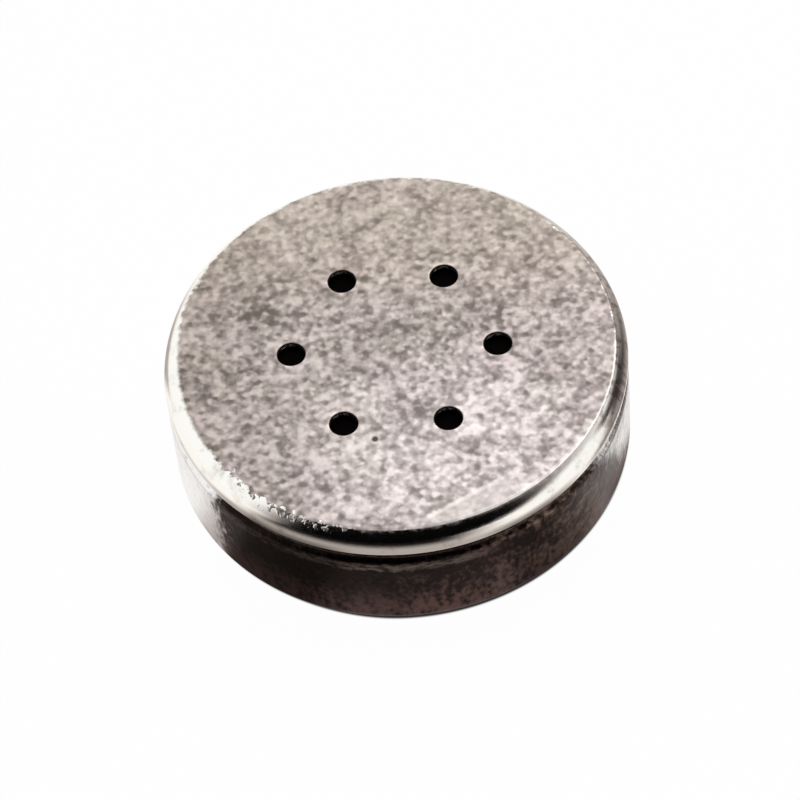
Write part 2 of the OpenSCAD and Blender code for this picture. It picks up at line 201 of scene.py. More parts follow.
class NodeNet:
    """Adds nodes to a tree and links them as they are written down."""

    def __init__(self, tree):
        self.tree = tree
        tree.nodes.clear()

    def add(self, kind, inputs=None, **settings):
        """Outputs of a new node that has these settings, and values or links for its inputs."""
        node = self.tree.nodes.new(kind)
        for name, value in settings.items():
            setattr(node, name, value)
        for key, value in (inputs or {}).items():
            socket = node.inputs[key]
            if isinstance(value, bpy.types.NodeSocket):
                self.tree.links.new(value, socket)
            else:
                socket.default_value = (*value, 1.0) if socket.type == "RGBA" else value
        return node.outputs

    def math(self, operation, *values):
        """Result of a Math node."""
        return self.add("ShaderNodeMath", dict(enumerate(values)), operation=operation)[0]

    def plus(self, *values):
        """The sum of values."""
        return reduce(partial(self.math, "ADD"), values)

    def times(self, *values):
        """The product of values, such as masks."""
        return reduce(partial(self.math, "MULTIPLY"), values)

    def minus(self, first, second):
        """One value less another."""
        return self.math("SUBTRACT", first, second)

    def highest(self, first, second):
        """The higher of two values."""
        return self.math("MAXIMUM", first, second)

    def swing(self, level, reach):
        """A level from 0 to 1 as a shift to both sides of 0."""
        return self.times(self.minus(level, 0.5), reach)

    def vector(self, operation, *values):
        """Result of a Vector Math node."""
        outputs = self.add("ShaderNodeVectorMath", dict(enumerate(values)), operation=operation)
        scalar = operation in ("LENGTH", "DOT_PRODUCT", "DISTANCE")
        return outputs["Value" if scalar else "Vector"]

    def scaled(self, vector, scale):
        """A vector times a number."""
        return self.add("ShaderNodeVectorMath", {0: vector, "Scale": scale}, operation="SCALE")[0]

    def split(self, vector):
        """X, Y and Z of a vector."""
        return self.add("ShaderNodeSeparateXYZ", {"Vector": vector})[:]

    def join(self, x, y, z):
        """A vector from X, Y and Z."""
        return self.add("ShaderNodeCombineXYZ", {"X": x, "Y": y, "Z": z})[0]

    def from_axis(self, x, y):
        """Distance from the upright axis."""
        return self.vector("LENGTH", self.join(x, y, 0.0))

    def follow(self, place):
        """Reads a position: X, Y, Z, the distance from the upright axis, and the side that it is on.

        The side is in degrees round that axis: 0 in front, more to the right, 180 behind.
        """
        self.x, self.y, self.z = self.split(place)
        self.radius = self.from_axis(self.x, self.y)
        self.side = self.math("DEGREES", self.math("ARCTAN2", self.x, self.times(self.y, -1.0)))

    def noise(self, vector, scale, detail, roughness, seed, distortion=0.0):
        """Noise from 0 to 1, with its seed along the fourth dimension."""
        inputs = {"Vector": vector, "W": seed, "Scale": scale, "Detail": detail}
        inputs.update({"Roughness": roughness, "Distortion": distortion})
        return self.add("ShaderNodeTexNoise", inputs, noise_dimensions="4D")[0]

    def slope(self, value, start, end, low, high, **settings):
        """A straight change from low to high while value goes from start to end."""
        inputs = {"Value": value, "From Min": start, "From Max": end, "To Min": low, "To Max": high}
        return self.add("ShaderNodeMapRange", inputs, **settings)[0]

    def fade(self, value, start, end, low=0.0, high=1.0):
        """A smooth step from low to high while value goes from start to end."""
        return self.slope(value, start, end, low, high, interpolation_type="SMOOTHSTEP")

    def between(self, mask, low, high):
        """Low where a mask is 0, and high where it is 1."""
        return self.slope(mask, 0.0, 1.0, low, high)

    def sector(self, value, begins, starts, ends, stops):
        """1 while value is between two limits, and fading to 0 past them."""
        return self.times(self.fade(value, begins, starts), self.fade(value, stops, ends))

    def facing(self, *degrees):
        """1 on one side of the capsule, between two angles round it."""
        return self.sector(self.side, *degrees)

    def band(self, value, level, *offsets):
        """A sector whose limits are measured from a level."""
        return self.sector(value, *(level + offset for offset in offsets))

    def glow(self, level, green, blue):
        """A grey level as a warm colour, warmest where it is dark."""
        shares = [self.between(level, light - drop, light) for light, drop in ((green, 0.15), (blue, 0.19))]
        return self.join(level, *(self.times(level, share) for share in shares))

    def seen(self):
        """1 for what the camera sees, straight or through glass."""
        path = self.add("ShaderNodeLightPath")
        return self.highest(path["Is Camera Ray"], path["Is Transmission Ray"])

    def mixed(self, mask, first, second):
        """Mix of two shaders."""
        return self.add("ShaderNodeMixShader", {0: mask, 1: first, 2: second})[0]


class Finish(NodeNet):
    """A material that reads Object coordinates, in millimetres."""

    def __init__(self, name):
        self.material = bpy.data.materials.new(name)
        self.material.use_nodes = True
        super().__init__(self.material.node_tree)
        place = self.add("ShaderNodeTexCoord")["Object"]
        self.mm = self.scaled(place, 1.0 / MM)
        self.follow(self.mm)

    def blend(self, factor, first, second, way="MIX"):
        """Mix of two colours."""
        inputs = {0: factor, 6: first, 7: second}
        return self.add("ShaderNodeMix", inputs, data_type="RGBA", blend_type=way)[2]

    def coated(self, base, *coats):
        """A colour under coats, each with its mask and its colour."""
        for mask, paint in coats:
            base = self.blend(mask, base, paint)
        return base

    def toned(self, base, *tones):
        """A colour multiplied by tones, each with its mask, its tone and the tone where the mask is 0."""
        for mask, tone, *plain in tones:
            base = self.blend(1.0, base, self.blend(mask, *(plain or [WHITE]), tone), "MULTIPLY")
        return base

    def bump(self, height, depth, normal=None):
        """Normals of a surface whose height runs from 0 to 1 over a depth in millimetres."""
        inputs = {"Height": height, "Strength": 1.0, "Distance": depth * MM}
        if normal is not None:
            inputs["Normal"] = normal
        return self.add("ShaderNodeBump", inputs)[0]

    def spots(self, *noise):
        """Noise with its scale per millimetre, its detail, roughness and seed."""
        return self.noise(self.mm, *noise)

    def wrapped(self, across, along, *noise):
        """Noise that follows the turned surface, with its scales round it and along its section."""
        arc = self.scaled(self.join(self.x, self.y, 0.0), across)
        section = self.times(self.minus(self.z, self.radius), along)
        return self.noise(self.vector("ADD", arc, self.join(0.0, 0.0, section)), 1.0, *noise)

    def sand(self, scale):
        """A random level from 0 to 1 for each cell of a flat pattern, softened where cells meet."""
        inputs = {"Vector": self.mm, "Scale": scale, "Smoothness": 1.0}
        cells = self.add("ShaderNodeTexVoronoi", inputs, voronoi_dimensions="2D", feature="SMOOTH_F1")
        return self.split(cells["Color"])[0]

    def weighed(self, *shares):
        """The sum of levels, each times its weight."""
        return self.plus(*(self.times(level, weight) for level, weight in shares))

    def away(self, x, y):
        """Distance from an upright line through a point, in millimetres."""
        return self.vector("DISTANCE", self.join(self.x, self.y, 0.0), (x, y, 0.0))

    def across_line(self, x, y, degrees):
        """Distances across and along an upright plane through a point, in millimetres."""
        turn = math.radians(degrees)
        off = self.vector("SUBTRACT", self.mm, (x, y, 0.0))
        across = self.vector("DOT_PRODUCT", off, (-math.sin(turn), math.cos(turn), 0.0))
        return across, self.vector("DOT_PRODUCT", off, (math.cos(turn), math.sin(turn), 0.0))

    def surface(self, base, roughness, normal, **constants):
        """Ends the material in one Principled shader, and returns the material."""
        inputs = {"Base Color": base, "Roughness": roughness, "Normal": normal}
        inputs.update({name.replace("_", " "): value for name, value in constants.items()})
        self.add("ShaderNodeOutputMaterial", {"Surface": self.add("ShaderNodeBsdfPrincipled", inputs)[0]})
        return self.material


class Modelling(NodeNet):
    """A Geometry Nodes tree that takes a section and named inputs, listed for each kind of socket."""

    def __init__(self, title, **inputs):
        super().__init__(bpy.data.node_groups.new(title, "GeometryNodeTree"))
        interface = self.tree.interface
        interface.new_socket(name="Geometry", in_out="OUTPUT", socket_type="NodeSocketGeometry")
        for kind, names in {"Geometry": "Section", **inputs}.items():
            for name in names.split(", "):
                interface.new_socket(name=name, in_out="INPUT", socket_type="NodeSocket" + kind)
        self.inputs = self.add("NodeGroupInput")
        self.place = self.add("GeometryNodeInputPosition")[0]
        self.follow(self.place)

    def finish(self, geometry):
        """Ends the tree in Realize Instances and, where it has a material, in shading and that."""
        if "Material" in self.inputs:
            geometry = self.shade(geometry)
        geometry = self.add("GeometryNodeRealizeInstances", {"Geometry": geometry})[0]
        if "Material" in self.inputs:
            inputs = {"Geometry": geometry, "Material": self.inputs["Material"]}
            geometry = self.add("GeometryNodeSetMaterial", inputs)[0]
        self.add("NodeGroupOutput", {"Geometry": geometry})
        return self.tree

    def turned(self):
        """The tree's section, turned by the shared tree, which is made once."""
        tree = bpy.data.node_groups.get(TURNING) or turning_tree()
        inputs = {name: self.inputs[name] for name in ("Section", "Segments")}
        return self.add("GeometryNodeGroup", inputs, node_tree=tree)[0]

    def move(self, geometry, **inputs):
        """Moves the points to a position or by an offset, all of them or a selection."""
        inputs = {"Geometry": geometry, **{name.capitalize(): value for name, value in inputs.items()}}
        return self.add("GeometryNodeSetPosition", inputs)[0]

    def dips(self, place, size, height, detail, roughness, distortion=0.0):
        """Noise of a given size that dips from 0 by up to a height."""
        scale = self.math("DIVIDE", 1.0, size)
        level = self.noise(place, scale, detail, roughness, self.inputs["Seed"], distortion)
        return self.times(self.minus(level, 1.0), height)

    def over(self, first, second):
        """Selects where one value is greater than another."""
        inputs = {0: first, 1: second}
        return self.add("FunctionNodeCompare", inputs, operation="GREATER_THAN")[0]

    def shade(self, mesh):
        """Smooth shading, with sharp edges left sharp."""
        inputs = {"Geometry": mesh, "Shade Smooth": True}
        smooth = self.add("GeometryNodeSetShadeSmooth", inputs)[0]
        bend = self.add("GeometryNodeInputMeshEdgeAngle")["Unsigned Angle"]
        inputs = {"Geometry": smooth, "Selection": self.over(bend, SHARP_ANGLE), "Shade Smooth": False}
        return self.add("GeometryNodeSetShadeSmooth", inputs, domain="EDGE")[0]


def turning_tree():
    """Turns a section, a row of points in the XZ plane, once round the Z axis."""
    net = Modelling(TURNING, Int="Segments")
    section = net.inputs["Section"]
    rows = net.add("GeometryNodeAttributeDomainSize", {"Geometry": section})["Point Count"]
    grid_size = {"Vertices X": rows, "Vertices Y": net.plus(net.inputs["Segments"], 1.0)}
    grid = net.add("GeometryNodeMeshGrid", grid_size)["Mesh"]
    row = net.math("ROUND", net.times(net.plus(net.x, 0.5), net.minus(rows, 1.0)))
    inputs = {"Geometry": section, "Value": net.place, "Index": row}
    sample = net.add("GeometryNodeSampleIndex", inputs, data_type="FLOAT_VECTOR", domain="POINT")
    radius, _, height = net.split(sample[0])
    turn = net.times(net.plus(net.y, 0.5), 2 * math.pi)
    x, y = (net.times(radius, net.math(way, turn)) for way in ("COSINE", "SINE"))
    turned = net.move(grid, position=net.join(x, y, height))
    inputs = {"Geometry": turned, "Distance": MERGE_DISTANCE}
    return net.finish(net.add("GeometryNodeMergeByDistance", inputs)[0])


def cap_tree():
    """Turned cap, its ring of sound holes and the grain that stands up from its face."""
    net = Modelling(
        "Front cap", Int="Segments, Hole count", Material="Material",
        Float="Sheet, Face radius, Face height, Hole radius, Hole circle radius, Hole break, "
              "Grain size, Grain height, Seed")
    given = net.inputs
    top = given["Face height"]
    inputs = {"Vertices": given["Hole count"], "Radius": given["Hole circle radius"]}
    ring = net.add("GeometryNodeMeshCircle", inputs)[0]
    inputs = {"Points": ring, "Instance": drill_shape(net, given, top)}
    drills = net.add("GeometryNodeInstanceOnPoints", inputs)[0]
    drills = net.add("GeometryNodeRealizeInstances", {"Geometry": drills})[0]
    inputs = {"Mesh 1": net.turned(), "Mesh 2": drills}
    cut = net.add("GeometryNodeMeshBoolean", inputs, operation="DIFFERENCE", solver="MANIFOLD")
    drilled = net.add("GeometryNodeTriangulate", {"Mesh": cut["Mesh"]})[0]

    edge = net.minus(given["Face radius"], net.radius)
    grain = net.dips(net.place, given["Grain size"], given["Grain height"], 2.0, 0.6)
    offset = net.join(0.0, 0.0, net.times(grain, net.fade(edge, 0.0, 0.5 * MM)))
    on_top = net.over(net.z, net.minus(top, FACE_DEPTH))
    grained = net.move(drilled, offset=offset, selection=on_top)
    return net.finish(grained)


def drill_shape(net, given, top):
    """What one sound hole takes away: a cylinder that widens to a rounded mouth."""
    overshoot = 0.3 * MM
    sheet = given["Sheet"]
    mouth = given["Hole break"]
    inputs = {"Vertices": 64, "Side Segments": 24, "Radius": 1.0, "Depth": net.plus(sheet, 2 * overshoot)}
    drill = net.add("GeometryNodeMeshCylinder", inputs)["Mesh"]
    height = net.plus(net.z, net.minus(top, net.times(sheet, 0.5)))
    above = net.minus(height, net.minus(top, mouth))
    rise = net.highest(net.math("DIVIDE", above, mouth), 0.0)
    radius = net.plus(given["Hole radius"], net.times(net.math("POWER", rise, 2.0), mouth))
    place = net.join(net.times(net.x, radius), net.times(net.y, radius), height)
    return net.move(drill, position=place)


def case_tree():
    """Turned case, with the unevenness of its pressed shoulder."""
    net = Modelling(
        "Case", Int="Segments", Material="Material",
        Float="Shoulder height, Wall radius, Wave pitch, Wave height, Seed")
    given = net.inputs
    below = net.minus(given["Shoulder height"], net.z)
    inside = net.minus(given["Wall radius"], net.radius)
    near = net.fade(below, 2.6 * MM, 0.3 * MM)
    outer = net.fade(inside, 2.0 * MM, 0.3 * MM)
    mask = net.times(near, outer, net.fade(below, -0.2 * MM, 0.0))
    wave = net.times(net.dips(net.place, given["Wave pitch"], given["Wave height"], 3.0, 0.55), mask)
    slant = net.vector("ADD", net.vector("NORMALIZE", net.join(net.x, net.y, 0.0)), (0.0, 0.0, 0.8))
    waved = net.move(net.turned(), offset=net.scaled(slant, wave))
    return net.finish(waved)


def silk_tree():
    """Turned sheet of silk, wrinkled inside its clamped rim."""
    net = Modelling(
        "Silk", Int="Segments", Material="Material", Float="Free radius, Wrinkle size, Wrinkle height, Seed")
    given = net.inputs
    free = net.fade(net.minus(given["Free radius"], net.radius), 0.0, 1.5 * MM)
    level_place = net.join(net.x, net.y, 0.0)
    sag = net.dips(level_place, given["Wrinkle size"], given["Wrinkle height"], 2.0, 0.5, 0.8)
    wrinkled = net.move(net.turned(), offset=net.join(0.0, 0.0, net.times(sag, free)))
    return net.finish(wrinkled)


# Sections, as rows of points (radius, height)

def arc(centre, radius, start, end, steps):
    """Points along an arc, with its angles in degrees."""
    turns = [math.radians(start + (end - start) * step / steps) for step in range(steps + 1)]
    return [(centre[0] + radius * math.cos(turn), centre[1] + radius * math.sin(turn)) for turn in turns]


def run(start, end, steps):
    """Points along a straight run."""
    shares = [step / steps for step in range(steps + 1)]
    return [tuple(a + (b - a) * share for a, b in zip(start, end)) for share in shares]


def without_repeats(points):
    """The points, with each that lies on the one before it left out."""
    kept = [points[0]]
    for point in points[1:]:
        if math.dist(point, kept[-1]) > 1e-8:
            kept.append(point)
    return kept


def shoulder_centre(cap):
    """Centre of the round of the cap's shoulder, as radius and height."""
    radius = cap_high.x - cap.shoulder_radius
    face = cap_high.x - cap.shoulder_width
    return radius, cap_high.z - math.sqrt(cap.shoulder_radius ** 2 - (face - radius) ** 2)


def cap_section(sizes):
    """From the middle of the face out over the shoulder, round the crimp and back under the face."""
    top = cap_high.z
    outer = cap_high.x
    bottom = cap_low.z
    sheet = sizes.sheet
    inner = outer - sheet
    centre = shoulder_centre(sizes)
    crease = sizes.crease_radius
    crease_z = top - crease
    reach = sizes.shoulder_radius - crease
    crease_r = centre[0] + math.sqrt(reach ** 2 - (crease_z - centre[1]) ** 2)
    crease_lean = math.degrees(math.asin((crease_z - centre[1]) / reach))
    inner_radius = sizes.shoulder_radius - sheet
    ceiling = top - sheet
    ceiling_lean = math.degrees(math.asin((ceiling - centre[1]) / inner_radius))
    edge = EDGE_ROUND
    edge_r = outer - sizes.crimp_reach + edge
    crimp_top = bottom + sheet
    points = run((0.0, top), (crease_r, top), 96)
    points += arc((crease_r, crease_z), crease, 90.0, crease_lean, 6)
    points += arc(centre, sizes.shoulder_radius, crease_lean, 0.0, 28)
    points += run((outer, centre[1]), (outer, crimp_top), 4)
    points += arc((inner, crimp_top), sheet, 0.0, -90.0, 14)
    points += run((inner, bottom), (edge_r, bottom), 5)
    points += arc((edge_r, bottom + edge), edge, -90.0, -180.0, 3)
    points += arc((edge_r, crimp_top - edge), edge, 180.0, 90.0, 3)
    points += run((edge_r, crimp_top), (inner, crimp_top), 4)
    points += run((inner, crimp_top), (inner, centre[1]), 1)
    points += arc(centre, inner_radius, 0.0, ceiling_lean, 6)
    points += run((outer - sizes.shoulder_width, ceiling), (0.0, ceiling), 8)[1:]
    return without_repeats(points)


def flange_edge_radius(height):
    """Radius of the flange's edge, which lies just inside the cap's shoulder at that height."""
    cap = bpy.context.scene.capsule.cap
    centre_r, centre_z = shoulder_centre(cap)
    reach = cap.shoulder_radius - cap.sheet
    return centre_r + math.sqrt(reach ** 2 - max(height - centre_z, 0.0) ** 2) - SEAT_GAP


def rounded(start, corners, end, steps):
    """Points along level and upright runs that are rounded where they meet.

    A corner has its radius and height, the radius of its round, and the steps of the run before it
    and of the round. The last run has its own steps.
    """
    points = [start]
    ends = [corner[:2] for corner in corners[1:]] + [end]
    for (x, z, bend, run_steps, arc_steps), after in zip(corners, ends):
        corner = complex(x, z)
        way_in = corner - complex(*points[-1])
        way_in /= abs(way_in)
        way_out = complex(*after) - corner
        way_out /= abs(way_out)
        starts = corner - bend * way_in
        centre = starts + bend * way_out
        begin, turn = (math.degrees(cmath.phase(way)) for way in (-way_out, -way_in / way_out))
        points += run(points[-1], (starts.real, starts.imag), run_steps)
        points += arc((centre.real, centre.imag), bend, begin, begin + turn, arc_steps)
    return points + run(points[-1], end, steps)


def case_section(sizes):
    """Round the sheet of the case: its outside from flange to floor, then its inside back."""
    sheet = bush_high.z - bush_low.z
    wall = case_high.x
    flange = case_high.z
    flange_r = flange_edge_radius(flange)
    top = cap_low.z - sizes.groove_height
    neck = wall - sizes.groove_depth
    small = sizes.small_bend
    big = small + sheet
    shoulder = sizes.shoulder_bend
    foot = sizes.foot_bend
    recess = sizes.recess_diameter / 2
    hole = bush_high.x + sizes.bush_gap
    outside = rounded((flange_r, flange - sheet), (
        (neck, flange - sheet, small, 4, 4), (neck, top, small, 3, 4), (wall, top, shoulder + sheet, 10, 16),
        (wall, 0.0, foot + sheet, 30, 14), (recess, 0.0, big, 10, 8), (recess, bush_low.z, small, 2, 3),
    ), (hole, bush_low.z), 16)
    inside = rounded((hole, bush_high.z), (
        (recess + sheet, bush_high.z, big, 2, 5), (recess + sheet, sheet, small, 1, 3),
        (wall - sheet, sheet, foot, 2, 4), (wall - sheet, top - sheet, shoulder, 6, 4),
        (neck - sheet, top - sheet, big, 3, 5), (neck - sheet, flange, big, 1, 5),
    ), (flange_r, flange), 2)
    return without_repeats(outside + inside + outside[:1])


def silk_section():
    """From the middle of the silk's upper side out to its edge and back below."""
    outer = silk_high.x
    upper = run((0.0, silk_high.z), (outer, silk_high.z), 70)
    return without_repeats(upper + run((outer, silk_low.z), (0.0, silk_low.z), 70))


# Pieces

def new_object(name, data):
    """An object in the scene."""
    item = bpy.data.objects.new(name, data)
    bpy.context.scene.collection.objects.link(item)
    return item


def turned_piece(name, section, tree, sizes, **values):
    """An object made from its section by a tree, as a plain closed mesh.

    The tree's inputs take the sizes of a group of properties, and the other values, by their names.
    """
    values.update({key: getattr(sizes, key) for key in sizes.__annotations__})
    piece = new_object(name, bpy.data.meshes.new(name))
    piece.data.from_pydata([(radius, 0.0, height) for radius, height in section], [], [])
    modifier = piece.modifiers.new("Model", "NODES")
    modifier.node_group = tree
    for item in tree.interface.items_tree:
        key = item.name.lower().replace(" ", "_")
        if item.in_out == "INPUT" and key in values:
            modifier[item.identifier] = values[key]
    bpy.context.view_layer.update()
    graph = bpy.context.evaluated_depsgraph_get()
    result = bpy.data.meshes.new_from_object(piece.evaluated_get(graph))
    piece.modifiers.remove(modifier)
    piece.data = result
    result.name = name
    close_outwards(piece)
    return piece


def close_outwards(piece):
    """Points the faces of a piece outwards, and stops if the piece isn't closed."""
    work = bmesh.new()
    work.from_mesh(piece.data)
    open_edges = sum(1 for edge in work.edges if len(edge.link_faces) != 2)
    if open_edges or not work.faces:
        work.free()
        raise RuntimeError(f"{piece.name} isn't closed: {open_edges} edges don't join two faces")
    bmesh.ops.recalc_face_normals(work, faces=work.faces)
    if work.calc_volume(signed=True) < 0.0:
        bmesh.ops.reverse_faces(work, faces=work.faces)
    work.to_mesh(piece.data)
    work.free()


def dress(node, material):
    """Gives a node of the frame its finish."""
    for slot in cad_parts[node].material_slots:
        slot.material = material


def stand_for(piece, node):
    """The piece takes the place of a node and moves with the capsule."""
    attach(piece, BODY)
    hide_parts(node)


# Finishes: their lengths are in millimetres, and their angles in degrees round the capsule

def cap_finish(colours, cap):
    """Grained matt face with a ragged edge, a painted shade along its front edge and a painted light ring
    round each hole, hole walls painted dark as shade with painted glints, and a polished shoulder with small
    scratches.
    """
    look = Finish("Cap sheet")
    top = cap_high.z / MM
    edge = (cap_high.x - cap.shoulder_width) / MM
    on_face = face_mask(look, top, edge)
    sand = look.sand(1.9)
    grain = look.spots(1.25, 1, 0.5, 5)
    patches = look.spots(0.4, 1, 0.6, 11)
    broad = look.spots(0.13, 1, 0.5, 19)
    level = look.minus(look.weighed((grain, 0.46), (patches, 0.25), (sand, 0.2), (broad, 0.15)), 0.025)
    skin = face_colour(look, colours, level)

    pit = look.fade(look.away(-2.17, -11.4), 0.46, 0.2)
    inward, along = look.across_line(3, -21.3, 30.5)
    length_mask = look.sector(along, -1.5, 0.8, 8.5, 10.5)
    flat = look.times(look.fade(inward, 0.1, -0.3), length_mask, 0.5)
    # a darker band of grain just inside the scrape line
    scrape_dark_band = look.times(look.sector(inward, 0.1, 0.4, 0.8, 1.9), length_mask, look.fade(grain, 0.66, 0.4))
    line = look.times(look.sector(inward, -0.45, -0.15, 0, 0.25), length_mask)
    scrape = look.times(line, look.fade(patches, 0.4, 0.6, 0.15, 0.6))
    border = look.band(look.radius, edge, -0.5, -0.3, 0.02, 0.1)
    burnished = look.times(look.facing(6, 28, 48, 68), border)
    skin = look.coated(
        skin,
        (look.times(pit, 0.9), (0.035, 0.026, 0.024)),
        (flat, (0.66, 0.61, 0.585)),
        (look.times(scrape_dark_band, 0.45), (0.27, 0.225, 0.215)),
        (scrape, (0.89, 0.825, 0.79)),
        (look.times(burnished, 0.25), colours.cap_metal))

    holes, around_hole = from_hole(look, cap)
    bore = cap.hole_diameter / 2 / MM
    # painted highlight: the face is lighter in a ring round each hole
    skin = look.toned(skin, (look.fade(holes, bore + 0.45, bore + 0.1), (1.16, 1.16, 1.16)))
    # the hole walls are painted dark as shade, with painted glints on their back wall below the mouth
    in_hole = look.times(look.fade(holes, bore + 0.1, bore + 0.04), look.fade(look.z, top - 0.02, top - 0.08))
    glint_spots = look.fade(look.spots(3.4, 1, 0.5, 7), 0.42, 0.56, 0.1, 1)
    painted_hole_glints = look.times(look.sector(around_hole, -54, -38, 6, 24), glint_spots,
                      look.band(look.z, top, -0.7, -0.6, -0.4, -0.12))
    painted_hole_shade = look.blend(painted_hole_glints, (0.004, 0.002, 0.0015), (0.85, 0.76, 0.68))

    scratch = look.wrapped(1.2, 9, 3, 0.6, 2)
    stain = look.spots(0.55, 4, 0.6, 9)
    specks = look.times(look.facing(54, 70, 112, 136), look.fade(sand, 0.4, 0.7))
    metal = look.coated(
        colours.cap_metal,
        (look.fade(stain, 0.52, 0.8), (0.66, 0.63, 0.57)),
        (look.times(specks, 0.6), (0.30, 0.235, 0.215)))
    # painted shade: the face's edge is darkened at the front
    border = look.band(look.radius, edge, -0.45, -0.1, 0.1, 0.25)
    painted_edge_shade = look.times(look.facing(-40, -22, 26, 48), border, 0.35)
    base = look.coated(metal, (on_face, skin), (painted_edge_shade, (0.10, 0.085, 0.08)), (in_hole, painted_hole_shade))
    polish = look.plus(look.fade(scratch, 0.35, 0.75, 0.09, 0.18), look.fade(stain, 0.5, 0.8, 0, 0.1))
    matt = look.between(on_face, polish, look.between(burnished, 0.52, 0.42))
    normal = look.bump(look.times(level, on_face), 0.08)
    normal = look.bump(look.times(scratch, look.minus(1, on_face)), 0.006, normal)
    roughness = look.highest(matt, look.times(in_hole, 0.8))
    return look.surface(base, roughness, normal, Metallic=look.minus(1, in_hole))


def face_mask(look, top, edge):
    """1 on the grained face, whose border is clean at the right, ragged at the left and flaked between."""
    crisp = look.facing(6, 28, 78, 102)
    flaky = look.facing(-62, -46, -22, -2)
    polished = look.facing(-112, -92, -50, -36)
    ragged = look.spots(1.3, 1, 0.6, 3)
    flakes = look.spots(1.9, 1, 0.6, 27)
    unevenness = look.times(look.between(crisp, 1, 0.12), look.between(polished, 1, 0.6))
    shift = look.plus(
        look.swing(ragged, unevenness),
        look.times(crisp, look.slope(look.side, 40, 60, -0.05, 0.13)),
        look.times(flaky, look.slope(flakes, 0.35, 0.65, 0.55, -0.45)),
        look.times(polished, 0.45))
    reach = look.plus(look.radius, shift)
    return look.times(look.fade(reach, edge + 0.33, edge - 0.13), look.fade(look.z, top - 0.8, top - 0.35))


def face_colour(look, colours, level):
    """Colour of the face, with a painted highlight that makes it paler and calmer at the right front, and
    painted shade that makes it duller at the left.
    """
    tint = look.spots(0.25, 2, 0.5, 21)
    cloud = look.swing(tint, 14)
    rear = look.fade(look.plus(look.y, cloud), 2, 15)
    # painted highlight: the face is paler, and its grain calmer, round a point at the right front
    painted_highlight = look.fade(look.plus(look.away(7, -17), cloud), 22, 4)
    # painted shade: the face is duller at the left
    dull = look.fade(look.plus(look.x, cloud), -8, -22)
    calm = look.times(look.between(rear, 1, 0.7), look.between(painted_highlight, 1, 0.84))
    even = look.plus(look.swing(level, calm), 0.5)
    skin = look.blend(look.fade(even, 0.30, 0.70), colours.face_dark, colours.face_light)
    return look.toned(
        skin,
        (rear, (1.02, 1.01, 0.955)),
        (look.fade(tint, 0.35, 0.65), (1, 0.966, 0.972), (1, 0.989, 0.953)),
        (painted_highlight, (1.37, 1.40, 1.45)),
        (dull, (0.88, 0.87, 0.85)))


def from_hole(look, cap):
    """Distance from the axis of the nearest sound hole in millimetres, and degrees round it from its back."""
    share = 2 * math.pi / cap.hole_count
    turn = look.math("ARCTAN2", look.y, look.x)
    turn = look.times(look.math("ROUND", look.math("DIVIDE", turn, share)), share)
    circle = cap.hole_circle / 2 / MM
    x = look.minus(look.x, look.times(look.math("COSINE", turn), circle))
    y = look.minus(look.y, look.times(look.math("SINE", turn), circle))
    return look.from_axis(x, y), look.math("DEGREES", look.math("ARCTAN2", x, y))


